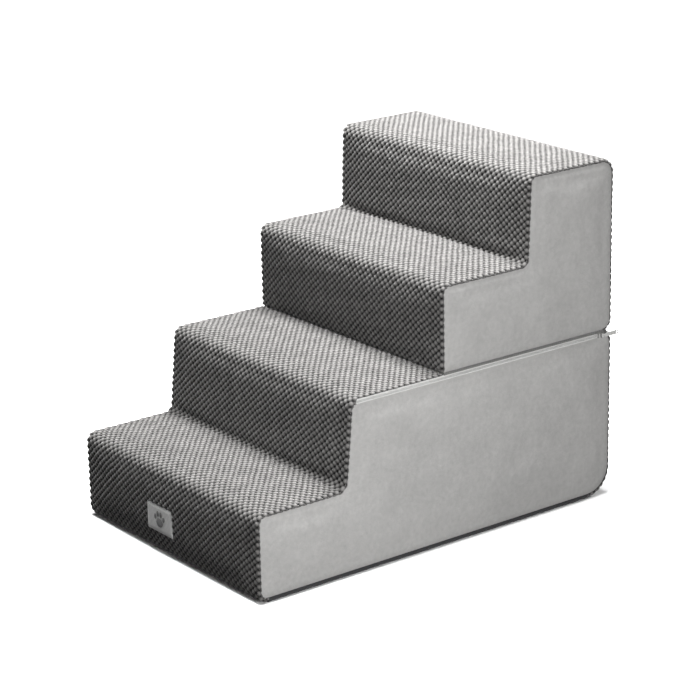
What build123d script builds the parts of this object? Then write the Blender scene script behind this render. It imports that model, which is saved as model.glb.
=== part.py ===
from build123d import *
import math
import os

os.makedirs("parts", exist_ok=True)

# Foldable foam pet stairs of four steps, in millimetres.
# X runs across the stairs, +Y from the first step to the back, +Z up.
# The origin is on the floor, in the middle of the stairs' length and width.

# Overall sizes
width = 400
step_run = 150
step_rise = 120

# The outline, seen from the side
nose_radius = 13
front_foot_radius = 14
back_foot_radius = 38
back_top_radius = 20
lower_notch_radius = 12
upper_notch_radius = 15
sill_radius = 3
lower_crease_radius = 12
upper_crease_radius = 8
lower_lean = 12
upper_lean = 5
side_edge_radius = 5
least_radius = 0.5

# Cover fabrics
fleece = 3
side_cloth = 1.5
lining = 1
sole_cloth = 1.2
fabric_turn = 4
back_turn = 2
sole_turn = 5

# Hook-and-loop patches between the two blocks
fastener = 1
patch_count = 3
patch_length = 90
patch_width = 25
patch_inset = 20

# The fabric hinge at the back
web_thickness = 1
web_side_gap = 10
web_reach = 0.8

# Zips
zip_width = 7
zip_front_gap = 8
zip_drop = 2
tape_thickness = 0.6
tape_gap = 0.2
slot_depth = 1
coil_height = 1.4
coil_width = 1.5
stop_length = 2
slider_length = 11
slider_width = 6.6
slider_plate = 1.2
slider_clearance = 0.25
lug_length = 2.4
lug_width = 0.8
lug_height = 2
bar_radius = 0.6
bar_lift = 1.3
bar_clearance = 0.08
eye_radius = 1.15
pull_clearance = 0.25
pull_length = 30
pull_width = 6
pull_thickness = 0.9
pull_hole_radius = 1.6

# The woven patch on the first riser
label_width = 58
label_height = 38
label_thickness = 0.8
label_centre_x = -17
label_centre_z = 50

# Places that follow from the sizes
front = -2 * step_run
back = 2 * step_run
half = width / 2
parting = 2 * step_rise
top = 4 * step_rise
core_top = parting - lining - 2 * fastener
deck_edge = core_top - side_edge_radius + side_cloth
fleece_on_deck = parting - core_top

lower_profile = [
    ((front, 0), front_foot_radius),
    ((front, step_rise), nose_radius),
    ((front + step_run - lower_lean, step_rise), lower_crease_radius),
    ((front + step_run, parting), nose_radius),
    ((back, parting), lower_notch_radius),
    ((back, 0), back_foot_radius),
]
upper_profile = [
    ((0, parting), sill_radius),
    ((0, parting + step_rise), nose_radius),
    ((step_run - upper_lean, parting + step_rise), upper_crease_radius),
    ((step_run, top), nose_radius),
    ((back, top), back_top_radius),
    ((back, parting), upper_notch_radius),
]


def slab(x, y, z):
    """A box between three (low, high) pairs."""
    sizes = [high - low for low, high in (x, y, z)]
    middles = [(high + low) / 2 for low, high in (x, y, z)]
    return Pos(*middles) * Box(*sizes)


def on_side(side, near, far):
    """The X range from near to far, out from the middle, on the right (1) or the left (-1)."""
    return tuple(sorted((side * near, side * far)))


def inset_profile(profile, depths):
    """Moves each edge of a profile inwards by its own depth. Edge i starts at corner i."""
    count = len(profile)
    edges = []
    for i in range(count):
        (y0, z0), _ = profile[i]
        (y1, z1), _ = profile[(i + 1) % count]
        length = math.hypot(y1 - y0, z1 - z0)
        along = ((y1 - y0) / length, (z1 - z0) / length)
        start = (y0 + along[1] * depths[i], z0 - along[0] * depths[i])
        edges.append((start, along))
    corners = []
    for i in range(count):
        (start_a, along_a), (start_b, along_b) = edges[i - 1], edges[i]
        turn = along_a[0] * along_b[1] - along_a[1] * along_b[0]
        gap = (start_b[0] - start_a[0], start_b[1] - start_a[1])
        reach = (gap[0] * along_b[1] - gap[1] * along_b[0]) / turn
        corner = (start_a[0] + reach * along_a[0], start_a[1] + reach * along_a[1])
        shift = min(depths[i - 1], depths[i])
        hollow = turn > 0
        radius = profile[i][1] + shift if hollow else profile[i][1] - shift
        corners.append((corner, max(radius, least_radius)))
    return corners


def profile_solid(profile, x_range, edge_radius=0):
    """A solid with the profile as its side view, over an X range, with rounded side edges."""
    low, high = x_range
    with BuildPart() as solid:
        with BuildSketch(Plane.YZ.offset(low)):
            with BuildLine():
                points = [corner for corner, _ in profile]
                radii = [radius for _, radius in profile]
                FilletPolyline(*points, radius=radii, close=True)
            make_face()
        extrude(amount=high - low)
        if edge_radius:
            rims = solid.faces().filter_by(Axis.X).edges()
            fillet(rims, radius=edge_radius)
    return solid.part


def side_panels(profile, depths, outer):
    """The left and right side panels, inside a margin where the main cover turns the edge."""
    margin = inset_profile(profile, depths)
    right = profile_solid(margin, on_side(1, half - side_cloth, half)) & outer
    left = profile_solid(margin, on_side(-1, half - side_cloth, half)) & outer
    return left, right


def foam_core(profile, depths):
    """The foam block inside a cover."""
    inner = inset_profile(profile, depths)
    reach = half - side_cloth
    return profile_solid(inner, (-reach, reach), side_edge_radius - side_cloth)


def zip_slot(side, y_range, z_range):
    """The shallow recess in a block's side that a zip's tapes lie in."""
    return slab(on_side(side, half - slot_depth, half + slot_depth), y_range, z_range)


def zip_pieces(side, middle_z, y_range):
    """The tapes, coils, stops, slider and pull of one zip, closed, with its slider at the back."""
    y_low, y_high = y_range
    tape_in = half - slot_depth
    tape_out = tape_in + tape_thickness
    coil_out = tape_out + coil_height
    tape_x = on_side(side, tape_in, tape_out)
    coil_x = on_side(side, tape_out, coil_out)
    coil_y = (y_low + stop_length, y_high - stop_length)
    edge = zip_width / 2
    pieces = {}
    for name, sign in (("upper", 1), ("lower", -1)):
        tape_z = sorted((middle_z + sign * tape_gap / 2, middle_z + sign * edge))
        coil_z = sorted((middle_z + sign * tape_gap / 2, middle_z + sign * coil_width))
        pieces[name + "_tape"] = slab(tape_x, y_range, tape_z)
        pieces[name + "_coil"] = slab(coil_x, coil_y, coil_z)
    front_stop = slab(
        coil_x,
        (y_low, y_low + stop_length),
        (middle_z - coil_width, middle_z + coil_width),
    )
    back_stops = [
        slab(
            coil_x,
            (y_high - stop_length, y_high),
            sorted((middle_z + sign * tape_gap / 2, middle_z + sign * coil_width)),
        )
        for sign in (1, -1)
    ]
    pieces["stops"] = Compound(children=[front_stop, *back_stops])
    slider_y = y_high - stop_length - slider_length / 2
    pieces["slider"] = zip_slider(side, slider_y, middle_z, tape_out, coil_out)
    pieces["pull"] = zip_pull(side, slider_y, middle_z, coil_out)
    return pieces


def slider_top(coil_out):
    """How far out a slider's outer plate reaches."""
    return coil_out + slider_clearance + slider_plate


def zip_slider(side, y, z, tape_out, coil_out):
    """A slider that bridges both coils, with two lugs and the bar that holds the pull."""
    top_x = slider_top(coil_out)
    body_y = (y - slider_length / 2, y + slider_length / 2)
    body_z = (z - slider_width / 2, z + slider_width / 2)
    body = slab(on_side(side, tape_out + slider_clearance, top_x), body_y, body_z)
    channel_half = coil_width + slider_clearance
    channel = slab(
        on_side(side, tape_out, coil_out + slider_clearance),
        (y - slider_length, y + slider_length),
        (z - channel_half, z + channel_half),
    )
    slider = body - channel
    lug_in = slider_width / 2 - lug_width
    for sign in (1, -1):
        slider += slab(
            on_side(side, top_x, top_x + lug_height),
            (y - lug_length / 2, y + lug_length / 2),
            sorted((z + sign * lug_in, z + sign * slider_width / 2)),
        )
    bar = Pos(side * (top_x + bar_lift), y, z) * Cylinder(bar_radius, 2 * lug_in)
    return slider + bar


def zip_pull(side, y, z, coil_out):
    """A flat pull that turns on the slider's bar and points to the back when the zip is closed."""
    x = side * (slider_top(coil_out) + bar_lift)
    eye_half = slider_width / 2 - lug_width - pull_clearance
    eye = Pos(x, y, z) * Cylinder(eye_radius, 2 * eye_half)
    tab_x = (x - pull_thickness / 2, x + pull_thickness / 2)
    neck_end = y + slider_length / 2
    neck = slab(tab_x, (y, neck_end), (z - eye_half, z + eye_half))
    tab_z = (z - pull_width / 2, z + pull_width / 2)
    tab = slab(tab_x, (neck_end, y + pull_length), tab_z)
    tab = fillet(tab.edges().filter_by(Axis.X), radius=pull_width / 3)
    finger_y = y + pull_length - pull_width / 2
    finger_hole = Pos(x, finger_y, z) * Rot(0, 90, 0) * Cylinder(pull_hole_radius, 2 * pull_thickness)
    bar_hole = Pos(x, y, z) * Cylinder(bar_radius + bar_clearance, 3 * eye_half)
    return eye + neck + tab - finger_hole - bar_hole


def patches(z_range):
    """One half of the hook-and-loop patches, spaced evenly across the parting face."""
    pitch = width / patch_count
    strips = []
    for i in range(patch_count):
        x = -half + pitch * (i + 0.5)
        x_range = (x - patch_length / 2, x + patch_length / 2)
        strips.append(slab(x_range, (patch_inset, patch_inset + patch_width), z_range))
    return Compound(children=strips)


def everywhere(y=(front, back), z=(0, top)):
    """A slab wider than the stairs, used to pick out one stretch of a cover."""
    return slab((-width, width), y, z)


def lower_block():
    """The lower foam block, its cover's panels and its zip."""
    outer = profile_solid(lower_profile, (-half, half), side_edge_radius)
    core = foam_core(lower_profile, [fleece, fleece, fleece, fleece_on_deck, fleece, sole_cloth])
    turns = [fabric_turn] * 4 + [back_turn, sole_turn]
    left, right = side_panels(lower_profile, turns, outer)
    zip_high = parting - zip_drop
    zip_y = (front + step_run + zip_front_gap, back - lower_notch_radius)
    slot = zip_slot(1, zip_y, (zip_high - zip_width, zip_high))
    right -= slot
    band = outer - core - left - right - slot
    sole_y = (front + front_foot_radius, back - back_foot_radius)
    sole = band & everywhere(y=sole_y, z=(0, sole_turn))
    deck_y = (0, back - lower_notch_radius)
    deck = band & everywhere(y=deck_y, z=(deck_edge, parting))
    pocket_x = half - fabric_turn
    deck -= slab((-pocket_x, pocket_x), deck_y, (core_top + lining, parting))
    steps = band & everywhere(y=(front, 0))
    steps -= everywhere(y=sole_y, z=(0, sole_turn))
    back_panel = band & everywhere(y=(0, back))
    back_panel -= everywhere(y=sole_y, z=(0, sole_turn))
    back_panel -= everywhere(y=deck_y, z=(deck_edge, parting))
    pieces = {
        "lower_foam_core": core,
        "lower_step_cover": steps,
        "lower_back_panel": back_panel,
        "lower_deck_lining": deck,
        "lower_side_panel_left": left,
        "lower_side_panel_right": right,
        "base_panel": sole,
        "loop_patches": patches((core_top + lining, parting - fastener)),
    }
    for name, piece in zip_pieces(1, zip_high - zip_width / 2, zip_y).items():
        pieces["lower_zip_" + name] = piece
    return outer, pieces


def upper_block():
    """The upper foam block, its cover's panels and its zip."""
    outer = profile_solid(upper_profile, (-half, half), side_edge_radius)
    core = foam_core(upper_profile, [fleece] * 5 + [lining])
    turns = [fabric_turn] * 4 + [back_turn, lining]
    left, right = side_panels(upper_profile, turns, outer)
    zip_low = parting + lining
    zip_y = (zip_front_gap, back - upper_notch_radius)
    slot = zip_slot(-1, zip_y, (zip_low, zip_low + zip_width))
    left -= slot
    band = outer - core - left - right - slot
    under_y = (sill_radius, back - upper_notch_radius)
    under_z = (parting, parting + side_edge_radius)
    seam_z = top - back_top_radius
    rear_y = ((step_run + back) / 2, back)
    under = band & everywhere(y=under_y, z=under_z)
    back_panel = band & everywhere(y=rear_y, z=(parting, seam_z))
    back_panel -= everywhere(y=under_y, z=under_z)
    steps = band - everywhere(y=under_y, z=under_z)
    steps -= everywhere(y=rear_y, z=(parting, seam_z))
    pieces = {
        "upper_foam_core": core,
        "upper_step_cover": steps,
        "upper_back_panel": back_panel,
        "upper_base_lining": under,
        "upper_side_panel_left": left,
        "upper_side_panel_right": right,
        "hook_patches": patches((parting - fastener, parting)),
    }
    for name, piece in zip_pieces(-1, zip_low + zip_width / 2, zip_y).items():
        pieces["upper_zip_" + name] = piece
    return outer, pieces


def hinge_web(lower_outer, upper_outer):
    """The fabric strip in the notch at the back, sewn to both covers."""
    reach = half - web_side_gap
    z_range = (parting - web_reach * lower_notch_radius, parting + web_reach * upper_notch_radius)
    strip = slab((-reach, reach), (back - web_thickness, back), z_range)
    return strip - lower_outer - upper_outer


def label_patch():
    """The woven patch sewn to the first riser."""
    return slab(
        (label_centre_x - label_width / 2, label_centre_x + label_width / 2),
        (front - label_thickness, front),
        (label_centre_z - label_height / 2, label_centre_z + label_height / 2),
    )


lower_outer, nodes = lower_block()
upper_outer, upper_nodes = upper_block()
nodes.update(upper_nodes)
nodes["hinge_web"] = hinge_web(lower_outer, upper_outer)
nodes["label_patch"] = label_patch()
for node, solid in nodes.items():
    export_step(solid, f"parts/{node}.step")
print(len(nodes), "nodes")
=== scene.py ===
# %% [markdown]
# # Folding foam pet stairs
# Two blocks of foam lie on each other, each in a zipped cover. The treads, risers and backs
# are a plush fleece with raised lumps, the sides are a smooth velvet, and the base is a dark
# non-slip cloth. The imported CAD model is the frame: everything below is placed from it.

# %% Load the frame
import math

import bpy
import numpy as np
from mathutils import Matrix, Vector
from mathutils.kdtree import KDTree


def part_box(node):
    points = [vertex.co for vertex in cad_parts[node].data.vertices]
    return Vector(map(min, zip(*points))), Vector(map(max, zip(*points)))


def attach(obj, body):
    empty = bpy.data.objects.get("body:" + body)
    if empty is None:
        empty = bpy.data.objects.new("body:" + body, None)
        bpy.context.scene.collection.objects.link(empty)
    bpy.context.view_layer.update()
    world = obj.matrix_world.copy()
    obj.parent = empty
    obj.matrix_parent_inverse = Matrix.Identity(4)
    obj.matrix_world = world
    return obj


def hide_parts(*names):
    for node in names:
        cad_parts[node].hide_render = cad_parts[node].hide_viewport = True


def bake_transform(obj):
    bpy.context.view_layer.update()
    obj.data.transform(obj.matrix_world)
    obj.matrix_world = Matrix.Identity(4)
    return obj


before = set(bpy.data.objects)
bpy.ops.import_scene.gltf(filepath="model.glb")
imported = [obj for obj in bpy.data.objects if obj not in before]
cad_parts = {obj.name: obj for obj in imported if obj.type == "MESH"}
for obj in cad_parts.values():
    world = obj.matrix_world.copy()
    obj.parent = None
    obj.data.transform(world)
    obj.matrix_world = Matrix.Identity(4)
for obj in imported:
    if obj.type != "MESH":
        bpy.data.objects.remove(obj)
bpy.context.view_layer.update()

MM = 0.001
scene = bpy.context.scene

# %% [markdown]
# Every size that the covers share is read from the CAD nodes' boxes, in metres. The corner
# radii and the fabric's own sizes can't be read from a box, so they are named here.

# %% Sizes of the stairs
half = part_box("lower_back_panel")[1][0]
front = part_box("lower_step_cover")[0][1]
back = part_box("lower_back_panel")[1][1]
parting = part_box("lower_back_panel")[1][2]
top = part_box("upper_step_cover")[1][2]
run = (back - front) / 4
rise = top / 4
nose_radius = 13 * MM
front_foot_radius = 14 * MM
back_foot_radius = 38 * MM
back_top_radius = 20 * MM
lower_notch_radius = 12 * MM
upper_notch_radius = 15 * MM
sill_radius = 3 * MM
lower_crease_radius = 12 * MM
upper_crease_radius = 8 * MM
lower_lean = 12 * MM
upper_lean = 5 * MM
fabric_turn = 4 * MM
back_turn = 2 * MM
side_roll = 5 * MM
sole_turn = 5 * MM
print(f"step {run * 1000:.0f} by {rise * 1000:.0f} mm, {2 * half * 1000:.0f} mm wide")

# %% Outlines, seen from the side, clockwise from the front foot
lower_outline = [
    ((front, 0), front_foot_radius),
    ((front, rise), nose_radius),
    ((front + run - lower_lean, rise), lower_crease_radius),
    ((front + run, parting), nose_radius),
    ((back, parting), lower_notch_radius),
    ((back, 0), back_foot_radius),
]
upper_outline = [
    ((0, parting), sill_radius),
    ((0, parting + rise), nose_radius),
    ((run - upper_lean, parting + rise), upper_crease_radius),
    ((run, top), nose_radius),
    ((back, top), back_top_radius),
    ((back, parting), upper_notch_radius),
]


def corner_arc(before, corner, after, radius):
    """The arc that rounds a corner: its ends, centre, start angle and turn."""
    before, corner, after = (np.array(p, float) for p in (before, corner, after))
    a = (corner - before) / np.linalg.norm(corner - before)
    b = (after - corner) / np.linalg.norm(after - corner)
    turn = math.atan2(a[0] * b[1] - a[1] * b[0], a @ b)
    reach = radius * math.tan(abs(turn) / 2)
    start, end = corner - a * reach, corner + b * reach
    side = math.copysign(1, turn)
    centre = start + side * radius * np.array([-a[1], a[0]])
    angle = math.atan2(*(start - centre)[::-1])
    return start, end, centre, angle, turn


def closed_path(outline):
    """The straight and round stretches of a closed outline, each as (length, function of s)."""
    arcs = []
    for i, (corner, radius) in enumerate(outline):
        before, after = outline[i - 1][0], outline[(i + 1) % len(outline)][0]
        arcs.append((corner_arc(before, corner, after, radius), radius))
    stretches = []
    for i, ((start, end, centre, angle, turn), radius) in enumerate(arcs):
        next_start = arcs[(i + 1) % len(arcs)][0][0]
        stretches.append(("arc", radius * abs(turn), (centre, radius, angle, turn)))
        stretches.append(("line", np.linalg.norm(next_start - end), (end, next_start)))
    return stretches


def walk(stretches, s):
    """The place (y, z) and outward normal at distance s along the stretches."""
    for i, (kind, length, facts) in enumerate(stretches):
        if s <= length or i == len(stretches) - 1:
            share = min(s / length, 1) if length > 0 else 0
            break
        s -= length
    if kind == "line":
        start, end = facts
        along = (end - start) / np.linalg.norm(end - start)
        return start + share * (end - start), np.array([-along[1], along[0]])
    centre, radius, angle, turn = facts
    now = angle + share * turn
    out = np.array([math.cos(now), math.sin(now)])
    return centre + radius * out, -math.copysign(1, turn) * out


def sampled(stretches, cell):
    """Even samples along a path: places, outward normals and distances."""
    total = sum(length for _, length, _ in stretches)
    distance = np.linspace(0, total, max(2, round(total / cell)) + 1)
    found = [walk(stretches, s) for s in distance]
    return np.array([p for p, _ in found]), np.array([n for _, n in found]), distance


lower_path = closed_path(lower_outline)
upper_path = closed_path(upper_outline)
path_lengths = [sum(length for _, length, _ in path) for path in (lower_path, upper_path)]
print("outline lengths, mm:", [round(1000 * length) for length in path_lengths])

# %% [markdown]
# ## Camera, floor and light
# The camera looks down a little from the front right with a long lens, so upright edges stay
# nearly parallel. A pale floor meets a white surround. A soft box overhead and a high sun
# brighten the treads, and a box on the right lights that side. The floor's bounce is switched
# off, so that it doesn't lift the risers. A box behind the left corner shows the back and left.

# %% Camera
view_azimuth = math.radians(52.67)
view_height = math.radians(18.16)
view_roll = math.radians(-1.10)
view_distance = 3.176
look_at = Vector((0.0769, -0.0555, 0.2545))
camera_data = bpy.data.cameras.new("camera")
camera_data.lens = 123.8
camera_data.sensor_width = 36
camera = bpy.data.objects.new("camera", camera_data)
scene.collection.objects.link(camera)
backward = Vector((
    math.sin(view_azimuth) * math.cos(view_height),
    -math.cos(view_azimuth) * math.cos(view_height),
    math.sin(view_height),
))
right = Vector((0, 0, 1)).cross(backward).normalized()
upward = backward.cross(right)
right, upward = (
    math.cos(view_roll) * right + math.sin(view_roll) * upward,
    -math.sin(view_roll) * right + math.cos(view_roll) * upward,
)
turned = Matrix((right, upward, backward)).transposed().to_4x4()
camera.matrix_world = Matrix.Translation(look_at + view_distance * backward) @ turned
scene.camera = camera
print("camera at", [round(v, 3) for v in camera.matrix_world.translation])

# %% Floor, surround and lights
bpy.ops.object.select_all(action="DESELECT")
bpy.ops.mesh.primitive_plane_add(size=14, location=(0, 0, -0.0003))
floor = bpy.context.active_object
floor.name = "floor"
floor_finish = bpy.data.materials.new("floor_white")
floor_finish.use_nodes = True
floor_shader = floor_finish.node_tree.nodes["Principled BSDF"]
floor_shader.inputs["Base Color"].default_value = (0.93, 0.93, 0.93, 1)
floor_shader.inputs["Roughness"].default_value = 0.9
floor_shader.inputs["Specular IOR Level"].default_value = 0.1
floor.data.materials.append(floor_finish)
floor.visible_diffuse = False

surround = bpy.data.worlds.new("white_surround")
surround.use_nodes = True
surround.node_tree.nodes["Background"].inputs[0].default_value = (1, 1, 1, 1)
surround.node_tree.nodes["Background"].inputs[1].default_value = 0.08
scene.world = surround
scene.view_settings.view_transform = "Standard"


def soft_light(name, place, target, size, power):
    """A square soft box that faces its target."""
    data = bpy.data.lights.new(name, "AREA")
    data.size = size
    data.energy = power
    light = bpy.data.objects.new(name, data)
    scene.collection.objects.link(light)
    light.location = place
    light.rotation_euler = (Vector(target) - Vector(place)).to_track_quat("-Z", "Y").to_euler()
    return light


soft_light("overhead_box", (0, 0.2, 1.55), (0, 0.1, 0.3), 0.4, 56)
soft_light("right_box", (1.3, -0.4, 0.45), (0, -0.1, 0.2), 0.6, 14.5)
soft_light("back_box", (-1.1, 1.3, 0.5), (0, 0.1, 0.2), 0.8, 16)
ceiling_data = bpy.data.lights.new("ceiling", "SUN")
ceiling_data.energy = 3.8
ceiling_data.angle = math.radians(8)
ceiling = bpy.data.objects.new("ceiling", ceiling_data)
ceiling.rotation_euler = (math.radians(5), 0, 0)
scene.collection.objects.link(ceiling)

# %% [markdown]
# ## Finishes
# Each finish is a small node tree. Fabrics are rough and have a sheen, which is the pale edge
# that fibres show at a low angle. Noise on object coordinates stays still when a piece moves,
# and two bump layers give the pile its grain. The fleece also reads an attribute that its mesh
# carries, 0 deep between the lumps and 1 on top, and its colour is painted near black between
# the lumps: painted shade, where fibres shade each other.


# %% Node helpers
def new_finish(name, roughness, sheen=0.0, sheen_roughness=0.5, metal=0.0, specular=0.3):
    """A material with a Principled shader, and its tree for more nodes."""
    finish = bpy.data.materials.new(name)
    finish.use_nodes = True
    shader = finish.node_tree.nodes["Principled BSDF"]
    shader.inputs["Roughness"].default_value = roughness
    shader.inputs["Sheen Weight"].default_value = sheen
    shader.inputs["Sheen Roughness"].default_value = sheen_roughness
    shader.inputs["Metallic"].default_value = metal
    shader.inputs["Specular IOR Level"].default_value = specular
    return finish, finish.node_tree, shader


def object_noise(tree, scale, detail=2.0, stretch=(1, 1, 1)):
    """Noise on object coordinates, in features per metre, stretched along the axes."""
    place = tree.nodes.new("ShaderNodeTexCoord")
    mapping = tree.nodes.new("ShaderNodeMapping")
    mapping.inputs["Scale"].default_value = stretch
    noise = tree.nodes.new("ShaderNodeTexNoise")
    noise.inputs["Scale"].default_value = scale
    noise.inputs["Detail"].default_value = detail
    tree.links.new(place.outputs["Object"], mapping.inputs["Vector"])
    tree.links.new(mapping.outputs["Vector"], noise.inputs["Vector"])
    return noise.outputs["Fac"]


def ramp(tree, value, stops):
    """A colour ramp of (position, grey or colour) stops."""
    node = tree.nodes.new("ShaderNodeValToRGB")
    elements = node.color_ramp.elements
    while len(elements) < len(stops):
        elements.new(0.5)
    for element, (position, colour) in zip(elements, stops):
        element.position = position
        element.color = (*colour, 1)
    tree.links.new(value, node.inputs["Fac"])
    return node.outputs["Color"]


def multiply(tree, a, b):
    """Two colours multiplied."""
    node = tree.nodes.new("ShaderNodeMix")
    node.data_type = "RGBA"
    node.blend_type = "MULTIPLY"
    node.inputs["Factor"].default_value = 1
    tree.links.new(a, node.inputs[6])
    tree.links.new(b, node.inputs[7])
    return node.outputs[2]


def add_bump(tree, shader, height, depth, strength=1.0):
    """A bump layer on top of any that the shader already has."""
    node = tree.nodes.new("ShaderNodeBump")
    node.inputs["Distance"].default_value = depth
    node.inputs["Strength"].default_value = strength
    tree.links.new(height, node.inputs["Height"])
    if shader.inputs["Normal"].is_linked:
        tree.links.new(shader.inputs["Normal"].links[0].from_socket, node.inputs["Normal"])
    tree.links.new(node.outputs["Normal"], shader.inputs["Normal"])


def attribute(tree, name):
    """A float attribute that the mesh carries."""
    node = tree.nodes.new("ShaderNodeAttribute")
    node.attribute_name = name
    return node.outputs["Fac"]


def greys(*values):
    """Stops at even positions, for a ramp of greys."""
    return [(i / (len(values) - 1), (v, v, v)) for i, v in enumerate(values)]


# %% The plush fleece
def fleece_finish():
    """Painted shade near black between the lumps and the fabric's own grey on top, with fibres at
    two sizes.
    """
    finish, tree, shader = new_finish("plush_fleece", 0.95, 0.9, 0.2, specular=0.12)
    # The ramp is the fabric's own grey on the lump tops and painted shade, near black, in the pits
    # between them.
    pile_and_shade = ramp(tree, attribute(tree, "pile_and_shade"), [
        (0.0, (0.002, 0.002, 0.002)),
        (0.43, (0.0055, 0.0054, 0.0053)),
        (0.70, (0.058, 0.0565, 0.0555)),
        (1.0, (0.215, 0.210, 0.205)),
    ])
    fibre = ramp(tree, object_noise(tree, 900, 3), greys(0.62, 1.0, 1.25))
    blotch = ramp(tree, object_noise(tree, 22, 2), greys(0.86, 1.0, 1.1))
    tree.links.new(multiply(tree, multiply(tree, pile_and_shade, fibre), blotch), shader.inputs["Base Color"])
    add_bump(tree, shader, object_noise(tree, 1300, 2), 0.5 * MM)
    add_bump(tree, shader, object_noise(tree, 480, 2), 0.6 * MM, 0.7)
    return finish


fleece = fleece_finish()

# %% The smooth side velvet
def velvet_finish():
    """A short, even nap with slow, faint patches."""
    finish, tree, shader = new_finish("side_velvet", 0.85, 0.35, 0.35, specular=0.15)
    nap = ramp(tree, object_noise(tree, 14, 3), greys(0.84, 1.0, 1.1))
    fibre = ramp(tree, object_noise(tree, 1100, 2), greys(0.72, 1.0, 1.2))
    shades = [(0, (0.37, 0.366, 0.36)), (1, (0.49, 0.485, 0.475))]
    base = ramp(tree, object_noise(tree, 160, 2), shades)
    tree.links.new(multiply(tree, multiply(tree, base, nap), fibre), shader.inputs["Base Color"])
    add_bump(tree, shader, object_noise(tree, 1700, 2), 0.12 * MM)
    add_bump(tree, shader, object_noise(tree, 90, 2), 0.35 * MM, 0.6)
    return finish


velvet = velvet_finish()


# %% Woven cloths, plastic, metal and foam
def woven_finish(name, dark, light, thread, sheen=0.2, roughness=0.85):
    """Plain weave: two sets of thin ridges, with a little uneven dye."""
    finish, tree, shader = new_finish(name, roughness, sheen, 0.5, specular=0.2)
    place = tree.nodes.new("ShaderNodeTexCoord")
    ridges = []
    for turn in ((0, 0, 0), (0, math.pi / 2, math.pi / 2)):
        mapping = tree.nodes.new("ShaderNodeMapping")
        mapping.inputs["Rotation"].default_value = turn
        wave = tree.nodes.new("ShaderNodeTexWave")
        wave.inputs["Scale"].default_value = 1 / (thread * 20)
        wave.inputs["Distortion"].default_value = 0.6
        tree.links.new(place.outputs["Object"], mapping.inputs["Vector"])
        tree.links.new(mapping.outputs["Vector"], wave.inputs["Vector"])
        ridges.append(wave.outputs["Fac"])
    both = tree.nodes.new("ShaderNodeMath")
    both.operation = "MAXIMUM"
    tree.links.new(ridges[0], both.inputs[0])
    tree.links.new(ridges[1], both.inputs[1])
    weave = ramp(tree, both.outputs[0], [(0, dark), (1, light)])
    dye = ramp(tree, object_noise(tree, 60, 2), greys(0.85, 1.0, 1.1))
    tree.links.new(multiply(tree, weave, dye), shader.inputs["Base Color"])
    add_bump(tree, shader, both.outputs[0], 0.15 * MM)
    return finish


def plain_finish(name, dark, light, roughness, scale, depth, metal=0.0, specular=0.4):
    """A smooth stuff with a mottled colour and a fine grain."""
    finish, tree, shader = new_finish(name, roughness, metal=metal, specular=specular)
    colour = ramp(tree, object_noise(tree, scale, 3), [(0.3, dark), (0.7, light)])
    tree.links.new(colour, shader.inputs["Base Color"])
    worn = ramp(tree, object_noise(tree, scale / 3, 2), greys(roughness * 0.8, roughness * 1.15))
    tree.links.new(worn, shader.inputs["Roughness"])
    add_bump(tree, shader, object_noise(tree, scale * 2, 2), depth)
    return finish


sole_cloth = woven_finish("sole_cloth", (0.012, 0.012, 0.013), (0.035, 0.035, 0.037), 0.9 * MM)
lining_cloth = woven_finish("lining_cloth", (0.15, 0.15, 0.145), (0.21, 0.21, 0.205), 0.6 * MM)
hinge_cloth = woven_finish("hinge_cloth", (0.05, 0.05, 0.05), (0.10, 0.10, 0.10), 1.1 * MM)
tape_cloth = woven_finish("zip_tape_cloth", (0.44, 0.44, 0.43), (0.62, 0.62, 0.61), 0.5 * MM)
label_cloth = woven_finish("label_cloth", (0.55, 0.55, 0.54), (0.75, 0.75, 0.74), 0.45 * MM, 0.3)
loop_pile = woven_finish("loop_pile", (0.02, 0.02, 0.02), (0.09, 0.09, 0.09), 0.7 * MM, 0.6)
hook_pile = woven_finish("hook_pile", (0.015, 0.015, 0.015), (0.06, 0.06, 0.06), 1.0 * MM, 0.1, 0.5)
grip_rubber = plain_finish(
    "grip_rubber", (0.010, 0.010, 0.011), (0.022, 0.022, 0.023), 0.6, 300, 0.05 * MM
)
coil_nylon = plain_finish(
    "coil_nylon", (0.46, 0.46, 0.45), (0.58, 0.58, 0.57), 0.38, 400, 0.02 * MM
)
zip_metal = plain_finish(
    "zip_metal", (0.20, 0.20, 0.195), (0.34, 0.34, 0.33), 0.42, 500, 0.02 * MM, 0.5
)
foam_stuff = plain_finish("foam_stuff", (0.62, 0.60, 0.46), (0.76, 0.74, 0.60), 0.9, 700, 0.5 * MM)
stitch_thread = woven_finish(
    "stitch_thread", (0.60, 0.60, 0.59), (0.82, 0.82, 0.81), 0.25 * MM, 0.4
)
print(len(bpy.data.materials), "finishes")

# %% [markdown]
# ## The foam pushes the covers out
# A foam block in a tight cover crowns each panel between its seams. That is what cloth under
# pressure does, so a copy of each foam core is remeshed and inflated for twenty frames, held
# still along its seams and where the blocks touch. What is kept is one number for each point,
# how far it moved outwards, and the covers below read it from the nearest points.

# %% Inflate a copy of each core
voxel = 7 * MM
crown_limit = 4 * MM
pressure_frames = 20


def select_only(piece):
    """Makes one piece the only selected one, and the active one."""
    bpy.ops.object.select_all(action="DESELECT")
    bpy.context.view_layer.objects.active = piece
    piece.select_set(True)


def core_copy(node):
    """A closed, evenly meshed copy of a foam core."""
    form = bpy.data.objects.new(node + "_form", bpy.data.objects[node].data.copy())
    scene.collection.objects.link(form)
    select_only(form)
    merge = form.modifiers.new("merge", "WELD")
    merge.merge_threshold = 0.01 * MM
    bpy.ops.object.modifier_apply(modifier="merge")
    remesh = form.modifiers.new("even", "REMESH")
    remesh.mode = "VOXEL"
    remesh.voxel_size = voxel
    bpy.ops.object.modifier_apply(modifier="even")
    return form


def coordinates(mesh):
    """A mesh's points as an array."""
    points = np.zeros(len(mesh.vertices) * 3)
    mesh.vertices.foreach_get("co", points)
    return points.reshape(-1, 3)


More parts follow.
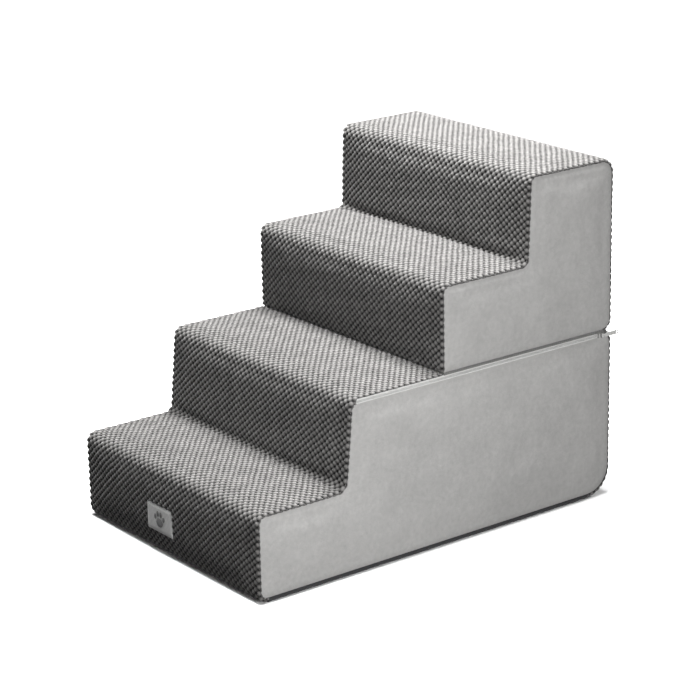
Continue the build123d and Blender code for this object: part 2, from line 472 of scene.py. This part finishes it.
def crowned(node, held_faces):
    """Where a core's surface is, and how far pressure moves each point outwards."""
    form = core_copy(node)
    before = coordinates(form.data)
    normals = np.array([v.normal for v in form.data.vertices])
    seam = (np.abs(normals[:, 0]) > 0.2) & (np.abs(normals[:, 0]) < 0.97)
    held = form.vertex_groups.new(name="held")
    held.add(np.flatnonzero(seam | held_faces(before)).tolist(), 1.0, "REPLACE")
    cloth = form.modifiers.new("inflate", "CLOTH")
    cloth.settings.quality = 4
    cloth.settings.use_pressure = True
    cloth.settings.uniform_pressure_force = 4
    cloth.settings.vertex_group_mass = "held"
    cloth.settings.effector_weights.gravity = 0
    cloth.point_cache.frame_start = 1
    cloth.point_cache.frame_end = pressure_frames
    for number in range(1, pressure_frames + 1):
        scene.frame_set(number)
    state = form.evaluated_get(bpy.context.evaluated_depsgraph_get())
    moved = np.einsum("ij,ij->i", coordinates(state.data) - before, normals)
    form.modifiers.remove(cloth)
    scene.frame_set(1)
    bpy.data.objects.remove(form)
    moved = crown_limit * np.tanh(np.maximum(moved, 0) / crown_limit)
    tree = KDTree(len(before))
    for i, point in enumerate(before):
        tree.insert(point, i)
    tree.balance()
    print(f"{node}: {len(before)} points, crowned by up to {moved.max() * 1000:.1f} mm")
    return tree, moved


def crown_at(crown, points):
    """How far out the foam pushes the cover at each point."""
    tree, moved = crown
    out = np.zeros(len(points))
    for i, point in enumerate(points):
        near = tree.find_n(point, 6)
        weight = [1 / (distance + 1 * MM) for _, _, distance in near]
        out[i] = sum(w * moved[k] for w, (_, k, _) in zip(weight, near)) / sum(weight)
    return out


touching = 9 * MM
lower_crown = crowned(
    "lower_foam_core",
    lambda p: (p[:, 2] < touching) | ((p[:, 2] > parting - touching) & (p[:, 1] > 0)),
)
upper_crown = crowned("upper_foam_core", lambda p: p[:, 2] < parting + touching)

# %% [markdown]
# ## The plush band
# One strip of fleece runs up the risers and over the treads, and its two long edges turn down
# onto the sides. The strip is a grid that is wrapped round the outline: one direction follows
# the outline, the other goes across the width and round both side edges. Lumps are small domes
# in two staggered lattices, so each sits between four others, and slow waves keep them from
# being equal.

# %% Cloth grid tools
fleece_cell = 1.4 * MM
lump_across = 10.75 * MM
lump_along = 9.4 * MM
lump_radius = 4.7 * MM
lump_height = 4.2 * MM


def unevenness(across, along, seed):
    """Slow waves between about -1 and 1, the same each run."""
    random = np.random.default_rng(seed)
    total = np.zeros_like(across)
    for _ in range(6):
        length = random.uniform(9, 60) * MM
        angle, phase = random.uniform(0, 2 * math.pi, 2)
        step = (across * math.cos(angle) + along * math.sin(angle)) / length
        total += np.sin(2 * math.pi * step + phase)
    return total / 3


def lumps(across, along, seed):
    """How high the fleece stands, 0 deep between lumps and 1 on top of them; the same value sets
    the fleece's painted shade.
    """
    shifted_across = across + 0.45 * MM * unevenness(across, along, seed)
    shifted_along = along + 0.45 * MM * unevenness(across, along, seed + 1)
    nearest = np.full_like(across, np.inf)
    for shift in (0, 0.5):
        column = np.round(shifted_across / lump_across - shift) + shift
        row = np.round(shifted_along / lump_along - shift) + shift
        distance = np.hypot(shifted_across - column * lump_across, shifted_along - row * lump_along)
        nearest = np.minimum(nearest, distance)
    pile_and_shade = np.sqrt(np.maximum(1 - (nearest / lump_radius) ** 2, 0))
    return pile_and_shade * (1 + 0.03 * unevenness(across, along, seed + 2))


def new_mesh(name, points, faces, finish):
    """A smooth mesh object at the origin."""
    mesh = bpy.data.meshes.new(name)
    mesh.from_pydata(points.tolist(), [], faces.tolist())
    mesh.materials.append(finish)
    mesh.shade_smooth()
    piece = bpy.data.objects.new(name, mesh)
    scene.collection.objects.link(piece)
    return piece


def grid_faces(rows, columns):
    """The quads of a grid whose points are stored row by row."""
    first = (np.arange(rows - 1)[:, None] * columns + np.arange(columns - 1)).ravel()
    return np.stack([first, first + columns, first + columns + 1, first + 1], axis=1)


def cross_section(roll, turn, cell):
    """Across the cloth: x, how far below the outline, normal's x, normal's share outwards."""
    flat = half - roll
    length = 2 * (flat + roll * math.pi / 2 + turn - roll)
    w = np.linspace(-length / 2, length / 2, round((2 * half + 18 * MM) / cell))
    beyond = np.abs(w) - flat
    angle = np.clip(beyond / roll, 0, math.pi / 2)
    down = np.maximum(beyond - roll * math.pi / 2, 0)
    side = np.sign(w)
    x = side * (np.minimum(np.abs(w), flat) + roll * np.sin(angle))
    return w, x, roll * (1 - np.cos(angle)) + down, side * np.sin(angle), np.cos(angle)


def cloth_band(places, normals, rolls, turns, cell):
    """Grid points and normals of a cloth wrapped over a stretch of outline.
    rolls and turns give, for each row, the left and right edge's radius and turn-down."""
    rows = []
    for place, normal, roll, turn in zip(places, normals, rolls, turns):
        sides = [cross_section(r, t, cell) for r, t in zip(roll, turn)]
        middle = len(sides[0][0]) // 2
        w, x, drop, nx, nn = (np.concatenate([a[:middle], b[middle:]]) for a, b in zip(*sides))
        point = np.stack([x, place[0] - drop * normal[0], place[1] - drop * normal[1]], axis=1)
        out = np.stack([nx, nn * normal[0], nn * normal[1]], axis=1)
        rows.append((w, point, out))
    across, points, outs = (np.array([row[i] for row in rows]) for i in range(3))
    return across, points, outs


def smooth_step(value, low, high):
    """0 below low, 1 above high, with a soft change between."""
    t = np.clip((value - low) / (high - low), 0, 1)
    return t * t * (3 - 2 * t)


hem_depth = 2.2 * MM


def with_hem(points, outs):
    """Adds a row all round that turns into the piece, as a hem does at a seam."""
    def folded(line, out):
        return line - hem_depth * out
    top_row = folded(points[:1], outs[:1])
    bottom_row = folded(points[-1:], outs[-1:])
    points = np.concatenate([top_row, points, bottom_row])
    outs = np.concatenate([outs[:1], outs, outs[-1:]])
    left = folded(points[:, :1], outs[:, :1])
    right_edge = folded(points[:, -1:], outs[:, -1:])
    return np.concatenate([left, points, right_edge], axis=1)


def fleece_piece(name, stretch, rolls, turns, crown, seed, flats_and_shade=(), limits=None):
    """A fleece panel over a stretch of outline, with lumps and the foam's crown."""
    places, normals, along = stretch
    across, points, outs = cloth_band(places, normals, rolls, turns, fleece_cell)
    along = np.repeat(along[:, None], across.shape[1], axis=1)
    pile_and_shade = lumps(across, along, seed)
    # Each press lowers the lumps and, through the stored value, also paints the fleece darker
    # there: painted shade.
    for press_and_shade in flats_and_shade:
        pile_and_shade *= press_and_shade(points)
    swell_limit, lump_size = limits or (crown_limit, lump_height)
    swell = np.minimum(crown_at(crown, points.reshape(-1, 3)).reshape(pile_and_shade.shape), swell_limit)
    height = swell + lump_size * (pile_and_shade - 0.7)
    moved = points + height[..., None] * outs
    hemmed = with_hem(moved, outs)
    hemmed[..., 2] = np.maximum(hemmed[..., 2], 0.2 * MM)
    rows, columns = hemmed.shape[:2]
    piece = new_mesh(name, hemmed.reshape(-1, 3), grid_faces(rows, columns), fleece)
    # The stored value sets the painted shade; the hem rows keep 0, so they are painted darkest
    # where the cloth turns into its seams.
    stored = np.zeros((rows, columns))
    stored[1:-1, 1:-1] = np.clip(pile_and_shade, 0, 1)
    layer = piece.data.attributes.new("pile_and_shade", "FLOAT", "POINT")
    layer.data.foreach_set("value", stored.ravel())
    print(f"{name}: {len(piece.data.polygons)} quads, {swell.max() * 1000:.1f} mm crown")
    return piece


def stretch_between(path, start, end, cell):
    """The samples of a closed path from one distance to another."""
    count = max(2, round((end - start) / cell) + 1)
    distance = np.linspace(start, end, count)
    total = sum(length for _, length, _ in path)
    found = [walk(path, s % total) for s in distance]
    return np.array([p for p, _ in found]), np.array([n for _, n in found]), distance


def distance_at(path, index):
    """The distance along a path at the start of one of its stretches."""
    return sum(length for _, length, _ in path[:index])


# %% Where each panel starts and ends along its outline
lower_total = sum(s[1] for s in lower_path)
upper_total = sum(s[1] for s in upper_path)
tuck = 4 * MM
deck_start = distance_at(lower_path, 7) + run - nose_radius + tuck
deck_end = distance_at(lower_path, 8)
lower_back_end = distance_at(lower_path, 11)
upper_seam = distance_at(upper_path, 9)
upper_back_end = distance_at(upper_path, 11)
zip_width = 7 * MM
zip_front = front + run + 8 * MM
zip_top_gap = 2 * MM


# %% Where the side panels' edges run
edge_cover = 1.6 * MM


def inset_outline(outline, depths):
    """An outline's corners moved inwards; edge i starts at corner i and has its own depth."""
    edges = []
    for i, (corner, _) in enumerate(outline):
        start = np.array(corner, float)
        along = np.array(outline[(i + 1) % len(outline)][0], float) - start
        along /= np.linalg.norm(along)
        edges.append((start + depths[i] * np.array([along[1], -along[0]]), along))
    moved = []
    for i, (_, radius) in enumerate(outline):
        (start_a, along_a), (start_b, along_b) = edges[i - 1], edges[i]
        turn = along_a[0] * along_b[1] - along_a[1] * along_b[0]
        gap = start_b - start_a
        corner = start_a + along_a * (gap[0] * along_b[1] - gap[1] * along_b[0]) / turn
        shift = min(depths[i - 1], depths[i]) * math.copysign(1, turn)
        moved.append((tuple(corner), max(radius + shift, 0.8 * MM)))
    return moved


def panel_border(outline, last_depth, top_depth=fabric_turn - edge_cover):
    """Points round a side panel's edge and their outward normals. The fleece laps over it."""
    depths = [fabric_turn - edge_cover] * 3 + [top_depth, back_turn - edge_cover, last_depth]
    places, normals, _ = sampled(closed_path(inset_outline(outline, depths)), 2 * MM)
    return places[:-1], normals[:-1]


def turn_to(border, place, normal):
    """How far in from the outline a panel's edge is, along the outline's normal."""
    places, normals = border
    for depth in np.arange(0, 20, 0.1) * MM:
        point = place - depth * normal
        near = np.argmin(np.sum((places - point) ** 2, axis=1))
        if (point - places[near]) @ normals[near] < 0:
            return depth
    return fabric_turn


def edge_turns(borders, stretch):
    """The left and right edge's radius and turn-down for each row of a stretch."""
    turns = [
        tuple(float(turn_to(border, place, normal) + edge_cover) for border in borders)
        for place, normal in zip(*stretch[:2])
    ]
    rolls = [tuple(min(side_roll, turn - 0.5 * MM) for turn in pair) for pair in turns]
    return rolls, turns


lower_left_border = panel_border(lower_outline, sole_turn)
lower_right_border = panel_border(lower_outline, sole_turn, zip_top_gap + zip_width - edge_cover)
lower_borders = (lower_left_border, lower_right_border)
upper_border = panel_border(upper_outline, 0.4 * MM)
upper_borders = (upper_border, upper_border)
print(len(lower_left_border[0]), "and", len(upper_border[0]), "points round the panels")

# %% Lower and upper step covers
lower_steps_stretch = stretch_between(lower_path, 0, deck_start, fleece_cell)
rolls, turns = edge_turns(lower_borders, lower_steps_stretch)
narrow_start, narrow_end = zip_front - 12 * MM, zip_front - 6 * MM
for i, (place, normal) in enumerate(zip(*lower_steps_stretch[:2])):
    on_top = smooth_step(normal[1], 0.8, 1)
    beside_zip = smooth_step(place[0], narrow_start, narrow_end) * on_top
    turn = turns[i][1] + (zip_top_gap + 0.1 * MM - turns[i][1]) * float(beside_zip)
    rolls[i] = (rolls[i][0], min(side_roll, turn - 0.6 * MM))
    turns[i] = (turns[i][0], turn)

label_low, label_high = (np.array(c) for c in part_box("label_patch"))


def under_label(points):
    """Pile pressed flat behind the woven patch, which also paints the fleece darker there: painted
    shade at the patch's edge.
    """
    margin = 2 * MM
    x_near = np.maximum(label_low[0] - points[..., 0], points[..., 0] - label_high[0])
    z_near = np.maximum(label_low[2] - points[..., 2], points[..., 2] - label_high[2])
    away = np.where(points[..., 1] < front + 2 * MM, np.maximum(x_near, z_near), 1)
    return 0.35 + 0.65 * smooth_step(away, -margin, 0.5 * MM)


def under_upper_block(points):
    """Pile pressed flat where the upper block stands on the second tread, and painted darker there
    as painted shade under the block.
    """
    on_tread = points[..., 2] > parting - 3 * MM
    return 1 - 0.55 * on_tread * smooth_step(points[..., 1], -1 * MM, 2 * MM)


def under_sill(points):
    """Pile pressed flat where the upper block's front edge rests on the second tread, and painted
    darker there as painted shade in the crease.
    """
    return 0.5 + 0.5 * smooth_step(points[..., 2], parting, parting + 4 * MM)


lower_steps = fleece_piece(
    "lower_step_cover_plush",
    lower_steps_stretch,
    rolls,
    turns,
    lower_crown,
    11,
    [under_label, under_upper_block],
)
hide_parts("lower_step_cover")
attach(lower_steps, "lower_block")

upper_steps_stretch = stretch_between(upper_path, 0, upper_seam, fleece_cell)
rolls, turns = edge_turns(upper_borders, upper_steps_stretch)
upper_steps = fleece_piece(
    "upper_step_cover_plush", upper_steps_stretch, rolls, turns, upper_crown, 23, [under_sill]
)
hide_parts("upper_step_cover")
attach(upper_steps, "upper_block")

# %% Back panels. They face each other when the stairs are folded, so they stand out less.
back_crown_limit = 1.6 * MM
back_lump_height = 2.4 * MM
for name, path, borders, start, end, crown, seed in (
    ("lower_back_panel", lower_path, lower_borders, deck_end, lower_back_end, lower_crown, 37),
    ("upper_back_panel", upper_path, upper_borders, upper_seam, upper_back_end, upper_crown, 41),
):
    stretch = stretch_between(path, start, end, fleece_cell * 1.15)
    rolls, turns = edge_turns(borders, stretch)
    limits = (back_crown_limit, back_lump_height)
    panel = fleece_piece(name + "_plush", stretch, rolls, turns, crown, seed, limits=limits)
    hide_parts(name)
    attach(panel, name.split("_")[0] + "_block")

# %% [markdown]
# ## The smooth side panels
# Each side is one flat piece of velvet, cut to the outline less the band's turn-down. It is
# made as a thick plate, remeshed to an even mesh, pressed back to the cloth's thickness, and
# then crowned with the foam. Its edge sinks a little, because the seam pulls it in.

# %% Side panels
panel_thickness = 1.3 * MM
thick_plate = 16 * MM
panel_voxel = 3.4 * MM
seam_width = 5 * MM
seam_sink = 1.1 * MM


def side_panel(name, border, side, crown):
    """A velvet side panel on the right (1) or the left (-1)."""
    places = border[0]
    count = len(places)
    inner = half - thick_plate
    layers = [np.column_stack([np.full(count, side * x), places]) for x in (half, inner)]
    faces = [list(range(count)), list(range(2 * count - 1, count - 1, -1))]
    faces += [[i, i + count, (i + 1) % count + count, (i + 1) % count] for i in range(count)]
    mesh = bpy.data.meshes.new(name)
    mesh.from_pydata(np.concatenate(layers).tolist(), [], faces)
    panel = bpy.data.objects.new(name, mesh)
    scene.collection.objects.link(panel)
    select_only(panel)
    bpy.ops.object.mode_set(mode="EDIT")
    bpy.ops.mesh.select_all(action="SELECT")
    bpy.ops.mesh.normals_make_consistent(inside=False)
    bpy.ops.object.mode_set(mode="OBJECT")
    remesh = panel.modifiers.new("even", "REMESH")
    remesh.mode = "VOXEL"
    remesh.voxel_size = panel_voxel
    bpy.ops.object.modifier_apply(modifier="even")
    finer = panel.modifiers.new("finer", "SUBSURF")
    finer.levels = finer.render_levels = 1
    bpy.ops.object.modifier_apply(modifier="finer")
    points = coordinates(panel.data)
    rim = KDTree(count)
    for i, place in enumerate(places):
        rim.insert((0, *place), i)
    rim.balance()
    from_seam = np.array([rim.find((0, y, z))[2] for _, y, z in points])
    depth = (half - side * points[:, 0]) * panel_thickness / thick_plate
    pulled = seam_sink * np.exp(-((from_seam / seam_width) ** 2))
    swell = crown_at(crown, points) * smooth_step(from_seam, 0, 30 * MM)
    ripple = 0.25 * MM * unevenness(points[:, 1], points[:, 2], 5)
    ripple = ripple * smooth_step(from_seam, 0, 20 * MM)
    nap_height = 0.9 * MM * smooth_step(from_seam, 0, 12 * MM)
    points[:, 0] = side * (half - depth - pulled + nap_height + swell + ripple)
    panel.data.vertices.foreach_set("co", points.ravel())
    panel.data.update()
    panel.data.materials.append(velvet)
    panel.data.shade_smooth()
    print(f"{panel.name}: {len(panel.data.polygons)} faces, {swell.max() * 1000:.1f} mm crown")
    return panel


beside_zip_border = panel_border(upper_outline, zip_width + 0.6 * MM)
for block, crown, borders in (
    ("lower", lower_crown, {1: lower_right_border, -1: lower_left_border}),
    ("upper", upper_crown, {1: upper_border, -1: beside_zip_border}),
):
    for side, word in ((1, "right"), (-1, "left")):
        node = f"{block}_side_panel_{word}"
        panel = side_panel(node + "_velvet", borders[side], side, crown)
        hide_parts(node)
        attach(panel, block + "_block")

# %% [markdown]
# ## Base cloth and the two parting faces
# The same wrapped grid makes the plain cloths: the non-slip base with its short turn-up, the
# lining on top of the lower block and the one under the upper block. Rubber dots are one small
# dome, copied over the base.

# %% Plain cloths
def thicken(piece, thickness):
    """Gives a cloth its thickness, on the inner side of its face."""
    wall = piece.modifiers.new("thickness", "SOLIDIFY")
    wall.thickness = thickness
    wall.offset = -1
    select_only(piece)
    bpy.ops.object.modifier_apply(modifier="thickness")


def cloth_piece(name, stretch, rolls, turns, cell, finish, lift=0.0):
    """A plain cloth over a stretch of outline, given a thickness inwards."""
    places, normals, _ = stretch
    _, points, outs = cloth_band(places, normals, rolls, turns, cell)
    points = points + lift * outs
    rows, columns = points.shape[:2]
    piece = new_mesh(name, points.reshape(-1, 3), grid_faces(rows, columns), finish)
    thicken(piece, 0.7 * MM)
    return piece


def even_edges(count, roll, turn):
    """The same roll and turn-down on both sides of every row."""
    return [(roll, roll)] * count, [(turn, turn)] * count


cloth_cell = 3 * MM
lining_sink = 0.4 * MM
dot_height = 0.5 * MM
base_stretch = stretch_between(lower_path, lower_back_end, lower_total, cloth_cell)
rolls, turns = even_edges(len(base_stretch[0]), 3 * MM, sole_turn + edge_cover)
base = cloth_piece("base_cloth", base_stretch, rolls, turns, cloth_cell, sole_cloth, -dot_height)
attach(base, "lower_block")

deck_stretch = stretch_between(lower_path, deck_start, deck_end, cloth_cell)
rolls = [(fabric_turn - 0.5 * MM, zip_top_gap + 0.2 * MM)] * len(deck_stretch[0])
turns = [(fabric_turn, zip_top_gap + 0.8 * MM)] * len(deck_stretch[0])
deck = cloth_piece(
    "lower_deck_cloth", deck_stretch, rolls, turns, cloth_cell, lining_cloth, -lining_sink
)
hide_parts("lower_deck_lining")
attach(deck, "lower_block")

under_stretch = stretch_between(upper_path, upper_back_end, upper_total, cloth_cell)
rolls, turns = even_edges(len(under_stretch[0]), 1.0 * MM, 1.4 * MM)
under = cloth_piece(
    "upper_base_cloth", under_stretch, rolls, turns, cloth_cell, lining_cloth, -lining_sink
)
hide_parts("upper_base_lining")
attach(under, "upper_block")
print("plain cloths:", [len(p.data.polygons) for p in (base, deck, under)])

# %% Grip dots
dot_radius = 2.0 * MM
dot_pitch = 11 * MM
dots_each_side = 16
bpy.ops.object.select_all(action="DESELECT")
bpy.ops.mesh.primitive_uv_sphere_add(segments=8, ring_count=4, radius=dot_radius)
dome = bpy.context.active_object
dome_points = coordinates(dome.data)
dome_faces = [list(p.vertices) for p in dome.data.polygons]
bpy.data.objects.remove(dome)
dome_points[:, 2] *= dot_height / dot_radius
sole_low, sole_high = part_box("base_panel")
dots, faces = [], []
row_count = int((sole_high[1] - sole_low[1] - 2 * dot_pitch) / dot_pitch)
for row in range(row_count):
    shift = dot_pitch / 2 * (row % 2)
    for column in range(-dots_each_side, dots_each_side + 1):
        centre = (column * dot_pitch + shift, sole_low[1] + dot_pitch * (row + 1.5), dot_height)
        faces += [[i + len(dots) * len(dome_points) for i in face] for face in dome_faces]
        dots.append(dome_points + centre)
grip = new_mesh("grip_dots", np.concatenate(dots), np.array(faces, dtype=object), grip_rubber)
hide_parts("base_panel")
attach(grip, "lower_block")
print(f"{len(dots)} grip dots")

# %% [markdown]
# ## Woven patch
# A small piece of pale cloth with a folded edge, a row of stitches and a plain paw print, raised
# as a satin stitch is.

# %% Patch
patch_thickness = 0.8 * MM
patch_lift = 0.3 * MM
patch_low, patch_high = label_low[[0, 2]], label_high[[0, 2]]
patch_middle = (patch_low + patch_high) / 2
patch_size = patch_high - patch_low


def patch_surface(x, z):
    """How far in front of the riser the patch's face is: pulled in at its sewn edge."""
    from_side = patch_size[0] / 2 - np.abs(x - patch_middle[0])
    from_end = patch_size[1] / 2 - np.abs(z - patch_middle[1])
    raised = 0.7 * MM * smooth_step(np.minimum(from_side, from_end), 0, 5 * MM)
    wave = 0.12 * MM * np.sin(x * 900) * np.sin(z * 700)
    return patch_lift + raised + wave


patch_cell = 1 * MM
columns = round(patch_size[0] / patch_cell) + 1
rows_up = round(patch_size[1] / patch_cell) + 1
xs = np.linspace(patch_low[0], patch_high[0], columns)
zs = np.linspace(patch_high[1], patch_low[1], rows_up)
X, Z = np.meshgrid(xs, zs)
patch_spot = np.array([[patch_middle[0], front, patch_middle[1]]])
patch_crown = float(crown_at(lower_crown, patch_spot)[0])
Y = front - patch_crown - patch_surface(X, Z)
patch_points = np.stack([X, Y, Z], -1).reshape(-1, 3)
patch = new_mesh("label_patch_cloth", patch_points, grid_faces(rows_up, columns), label_cloth)
thicken(patch, patch_thickness)
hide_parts("label_patch")
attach(patch, "lower_block")
print("patch", [round(v * 1000) for v in patch_size], "mm")

# %% Border stitches and paw print
def stitch_shape(length, width):
    """One stitch: a short thread that dips at both ends. It lies along X and faces -Y."""
    bpy.ops.object.select_all(action="DESELECT")
    bpy.ops.mesh.primitive_cylinder_add(
        vertices=6, radius=width / 2, depth=length, rotation=(0, math.pi / 2, 0)
    )
    thread = bpy.context.active_object
    bpy.ops.object.transform_apply(rotation=True)
    bpy.ops.object.mode_set(mode="EDIT")
    bpy.ops.mesh.select_all(action="SELECT")
    bpy.ops.mesh.subdivide(number_cuts=1)
    bpy.ops.object.mode_set(mode="OBJECT")
    points = coordinates(thread.data)
    points[:, 1] += width * 0.8 * (2 * np.abs(points[:, 0]) / length) ** 2
    shape_faces = [list(p.vertices) for p in thread.data.polygons]
    bpy.data.objects.remove(thread)
    return points, shape_faces


def copies(name, shape, places, finish):
    """One mesh of a shape repeated at 4 by 4 matrices."""
    points, shape_faces = shape
    all_points, all_faces = [], []
    for i, place in enumerate(places):
        turned = np.array(place.to_3x3()) @ points.T
        all_points.append(turned.T + np.array(place.translation))
        all_faces += [[k + i * len(points) for k in face] for face in shape_faces]
    return new_mesh(name, np.concatenate(all_points), np.array(all_faces, dtype=object), finish)


def on_patch(x, z, turn=0.0):
    """A place on the patch's face, turned in its plane."""
    y = front - patch_crown - float(patch_surface(np.array(x), np.array(z))) - 0.1 * MM
    return Matrix.Translation((x, y, z)) @ Matrix.Rotation(turn, 4, "Y")


stitch_length = 2.0 * MM
stitch_gap = 2.6 * MM
stitch_margin = 2.4 * MM
border = []
for axis in (0, 1):
    other = 1 - axis
    span = patch_size[axis] - 2 * stitch_margin
    count = round(span / stitch_gap)
    for level in (patch_low[other] + stitch_margin, patch_high[other] - stitch_margin):
        for k in range(count):
            along = patch_low[axis] + stitch_margin + (k + 0.5) * span / count
            place = (along, level) if axis == 0 else (level, along)
            border.append(on_patch(*place, turn=axis * math.pi / 2))
border_stitch = stitch_shape(stitch_length, 0.6 * MM)
border_stitches = copies("label_border_stitches", border_stitch, border, stitch_thread)
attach(border_stitches, "lower_block")

bpy.ops.object.select_all(action="DESELECT")
pads = [
    ((0, -4.8), (8.0, 6.2)),
    ((-9.6, 2.0), (2.9, 3.9)),
    ((-3.5, 7.0), (3.1, 4.3)),
    ((3.5, 7.0), (3.1, 4.3)),
    ((9.6, 2.0), (2.9, 3.9)),
]
pad_pieces = []
for (pad_x, pad_z), (pad_wide, pad_tall) in pads:
    x, z = patch_middle[0] + pad_x * MM, patch_middle[1] + pad_z * MM
    spot = on_patch(x, z).translation
    bpy.ops.mesh.primitive_uv_sphere_add(segments=20, ring_count=10, radius=1, location=spot)
    pad = bpy.context.active_object
    pad.scale = (pad_wide * MM, 0.5 * MM, pad_tall * MM)
    bpy.ops.object.transform_apply(location=True, rotation=True, scale=True)
    pad_pieces.append(pad)
for pad in pad_pieces:
    pad.select_set(True)
bpy.context.view_layer.objects.active = pad_pieces[0]
bpy.ops.object.join()
paw = bpy.context.active_object
paw.name = "label_paw_print"
paw.data.shade_smooth()
paw_thread = woven_finish("paw_thread", (0.05, 0.05, 0.05), (0.11, 0.11, 0.11), 0.35 * MM, 0.4)
paw.data.materials.append(paw_thread)
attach(paw, "lower_block")
print(len(border), "border stitches")

# %% [markdown]
# ## Zips
# A coil zip is two nylon filaments, wound so that their turns lock. Each turn shows as a small
# slanted tooth, so one tooth is modelled from a cube and copied along both tapes, half a step
# apart. The tapes are thin woven strips with a row of stitches along each.

# %% Zip shapes
tooth_pitch = 1.3 * MM
tooth_slant = math.radians(16)
seam_pitch = 3 * MM
seam_inset = 0.7 * MM


def tooth_shape(width, height):
    """One coil turn: a rounded bar from the tape's edge to the middle. Its front faces +X."""
    bpy.ops.object.select_all(action="DESELECT")
    bpy.ops.mesh.primitive_cube_add(size=1)
    tooth = bpy.context.active_object
    tooth.scale = (height, tooth_pitch * 0.62, width * 1.1)
    bpy.ops.object.transform_apply(scale=True)
    bpy.ops.object.mode_set(mode="EDIT")
    bpy.ops.mesh.select_all(action="SELECT")
    bpy.ops.mesh.bevel(offset=0.28 * MM, segments=1)
    bpy.ops.object.mode_set(mode="OBJECT")
    points = coordinates(tooth.data)
    shape_faces = [list(p.vertices) for p in tooth.data.polygons]
    bpy.data.objects.remove(tooth)
    return points, shape_faces


def boxed_strip(name, node, finish, edge):
    """A strip the size of a CAD node, with softened edges."""
    low, high = (np.array(c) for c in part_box(node))
    bpy.ops.object.select_all(action="DESELECT")
    bpy.ops.mesh.primitive_cube_add(size=1, location=(low + high) / 2)
    strip = bpy.context.active_object
    strip.name = name
    strip.scale = high - low
    bpy.ops.object.transform_apply(location=True, rotation=True, scale=True)
    bpy.ops.object.mode_set(mode="EDIT")
    bpy.ops.mesh.select_all(action="SELECT")
    bpy.ops.mesh.bevel(offset=edge, segments=2)
    bpy.ops.object.mode_set(mode="OBJECT")
    strip.data.materials.append(finish)
    strip.data.shade_smooth()
    return strip


def zip_strip(block, side):
    """Tapes, coils and stitches of one zip."""
    body = block + "_block"
    for sign, word in ((1, "upper"), (-1, "lower")):
        tape_node = f"{block}_zip_{word}_tape"
        tape = boxed_strip(tape_node + "_cloth", tape_node, tape_cloth, 0.2 * MM)
        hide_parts(tape_node)
        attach(tape, body)
        coil_node = f"{block}_zip_{word}_coil"
        low, high = (np.array(c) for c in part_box(coil_node))
        size, middle = high - low, (low + high) / 2
        start = low[1] + tooth_pitch * (0.5 if sign > 0 else 1.0)
        places = []
        for k in range(int((size[1] - tooth_pitch) / tooth_pitch)):
            spot = (middle[0], start + k * tooth_pitch, middle[2])
            places.append(Matrix.Translation(spot) @ Matrix.Rotation(sign * tooth_slant, 4, "X"))
        teeth = copies(coil_node + "_teeth", tooth_shape(size[2], size[0]), places, coil_nylon)
        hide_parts(coil_node)
        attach(teeth, body)
        tape_low, tape_high = (np.array(c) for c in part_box(tape_node))
        outer_x = tape_high[0] if side > 0 else tape_low[0]
        stitch_z = tape_high[2] - seam_inset if sign > 0 else tape_low[2] + seam_inset
        facing = Matrix.Rotation(side * math.pi / 2, 4, "Z")
        seam = []
        for k in range(int((tape_high[1] - tape_low[1]) / seam_pitch) - 1):
            spot = (outer_x + side * 0.15 * MM, tape_low[1] + (k + 1) * seam_pitch, stitch_z)
            seam.append(Matrix.Translation(spot) @ facing)
        seam_stitch = stitch_shape(2.3 * MM, 0.45 * MM)
        stitches = copies(f"{block}_zip_{word}_stitches", seam_stitch, seam, stitch_thread)
        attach(stitches, body)
        print(f"{coil_node}: {len(places)} teeth, {len(seam)} stitches")


zip_strip("lower", 1)
zip_strip("upper", -1)

# %% [markdown]
# ## Fabric hinge
# A strip of strong cloth closes the notch at the back and is the hinge itself. It is sewn to both
# covers.

# %% Hinge web
web_low, web_high = (np.array(c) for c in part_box("hinge_web"))
web_rows, web_columns = 25, 90
web_x = np.linspace(web_low[0], web_high[0], web_columns)
web_z = np.linspace(web_low[2], web_high[2], web_rows)
WX, WZ = np.meshgrid(web_x, web_z)
web_dip = 1.6 * MM
WY = web_high[1] - web_dip * np.exp(-(((WZ - parting) / (4 * MM)) ** 2))
WY = WY + 0.15 * MM * unevenness(WX, WZ, 77)
web_points = np.stack([WX, WY, WZ], -1).reshape(-1, 3)
web_faces = grid_faces(web_rows, web_columns)[:, ::-1]
web = new_mesh("hinge_web_cloth", web_points, web_faces, hinge_cloth)
thicken(web, 0.8 * MM)
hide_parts("hinge_web")
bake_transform(web)
print("hinge web", [round(v * 1000) for v in web_high - web_low], "mm")

# %% [markdown]
# ## CAD pieces that stay as they are
# The foam cores, the zips' stops, sliders and pulls, and the hook-and-loop patches already have
# their real shape. They only get their finish.

# %% Finishes for the kept CAD pieces
kept = {
    "lower_foam_core": foam_stuff,
    "upper_foam_core": foam_stuff,
    "loop_patches": loop_pile,
    "hook_patches": hook_pile,
}
for block in ("lower", "upper"):
    for part in ("stops", "slider", "pull"):
        kept[f"{block}_zip_{part}"] = zip_metal
for node, finish in kept.items():
    piece = bpy.data.objects[node]
    piece.data.materials.clear()
    piece.data.materials.append(finish)
print(len(kept), "CAD pieces finished")
